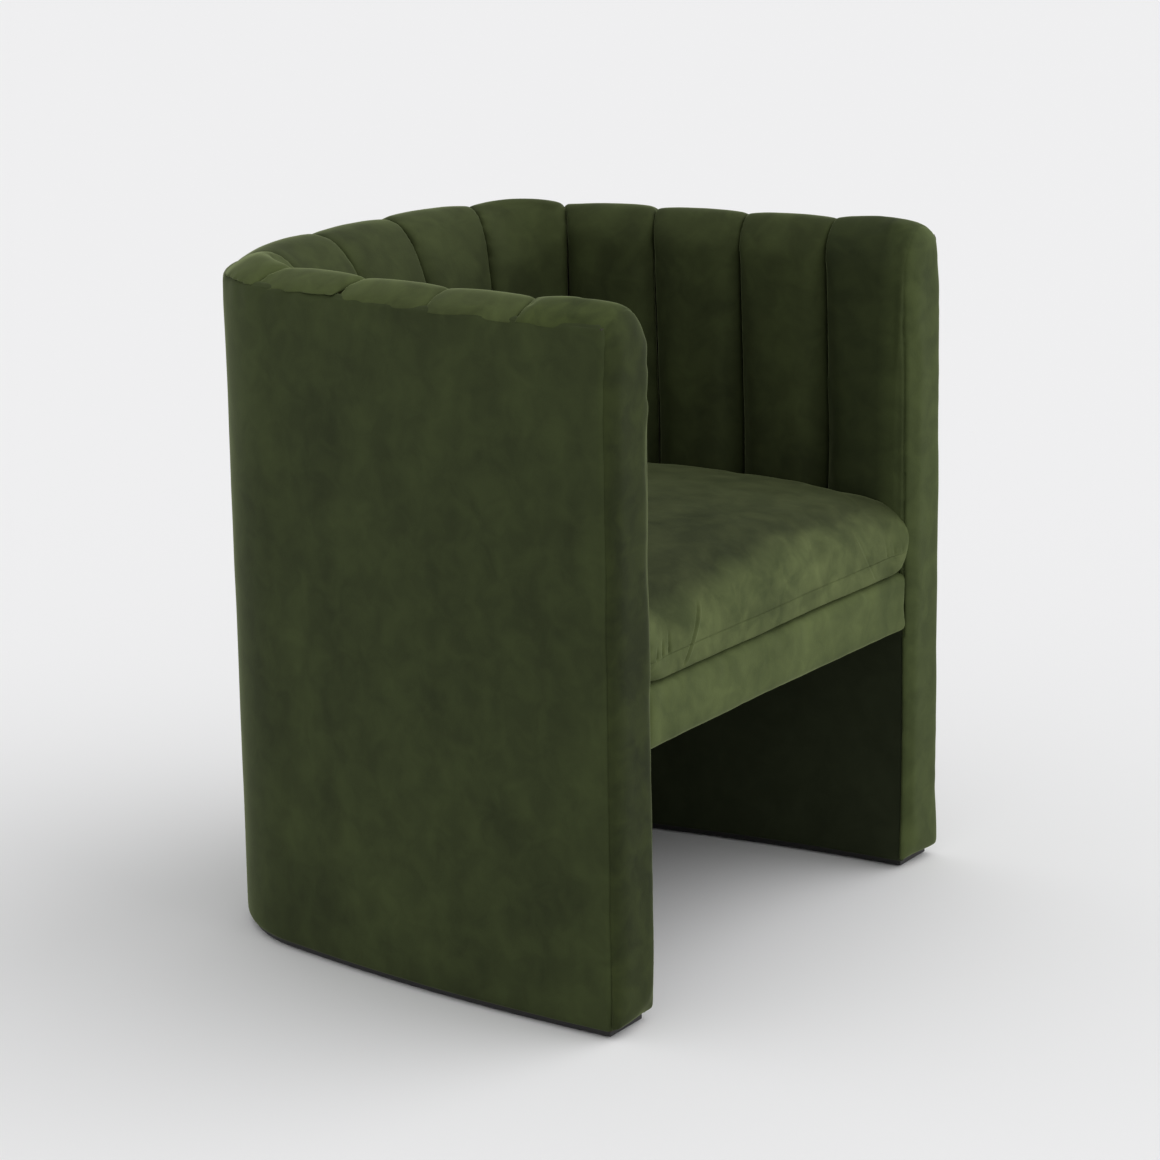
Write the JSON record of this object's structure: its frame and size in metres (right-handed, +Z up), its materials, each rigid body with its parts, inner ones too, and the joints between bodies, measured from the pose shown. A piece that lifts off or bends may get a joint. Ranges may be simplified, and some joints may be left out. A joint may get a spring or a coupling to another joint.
{
  "type": "occasional chair",
  "caption": "Barrel armchair: a thick U-shaped upholstered wall makes arms, back and legs, channelled inside, with a crowned seat cushion.",
  "frame": {"origin": "on the floor, under the middle of the chair's overall box", "axes": "+Z up, -Y towards the open front, +X to the sitter's left"},
  "size_m": [0.65, 0.567, 0.7],
  "materials": {
    "velvet": "dark green cotton velvet, short pile",
    "plywood": "raw birch plywood",
    "timber": "planed softwood",
    "hardboard": "bent hardboard",
    "strip_card": "pressed card strip",
    "webbing": "woven elastic webbing",
    "felt": "needled felt",
    "lining": "black non-woven dust cloth",
    "plinth_black": "black painted strip",
    "glide_plastic": "moulded, satin"
  },
  "bodies": {
    "root": {"arm_post_back_left": "timber", "arm_post_back_right": "timber", "arm_post_front_left": "timber", "arm_post_front_right": "timber", "arm_post_side_left": "timber", "arm_post_side_right": "timber", "base_hoop": "plywood", "channel_01": "velvet", "channel_02": "velvet", "channel_03": "velvet", "channel_04": "velvet", "channel_05": "velvet", "channel_06": "velvet", "channel_07": "velvet", "channel_08": "velvet", "channel_09": "velvet", "channel_10": "velvet", "channel_11": "velvet", "channel_12": "velvet", "channel_13": "velvet", "corner_block_left": "timber", "corner_block_right": "timber", "deck_felt": "felt", "dust_cover": "lining", "front_board_left": "hardboard", "front_board_right": "hardboard", "front_facing_left": "velvet", "front_facing_right": "velvet", "glides": "glide_plastic", "inner_board": "hardboard", "leg_post_back_left": "timber", "leg_post_back_right": "timber", "leg_post_front_left": "timber", "leg_post_front_right": "timber", "leg_post_side_left": "timber", "leg_post_side_right": "timber", "lower_board": "hardboard", "lower_cover": "velvet", "outer_board": "hardboard", "outer_cover": "velvet", "plinth": "plinth_black", "rail_cover": "velvet", "seat_cushion": "velvet", "seat_front_rail": "timber", "seat_hoop": "plywood", "seat_rear_rail": "plywood", "seat_side_rail_left": "plywood", "seat_side_rail_right": "plywood", "tack_strip": "strip_card", "top_hoop": "plywood", "webbing_cross": "webbing", "webbing_long": "webbing"}
  },
  "joints": []
}
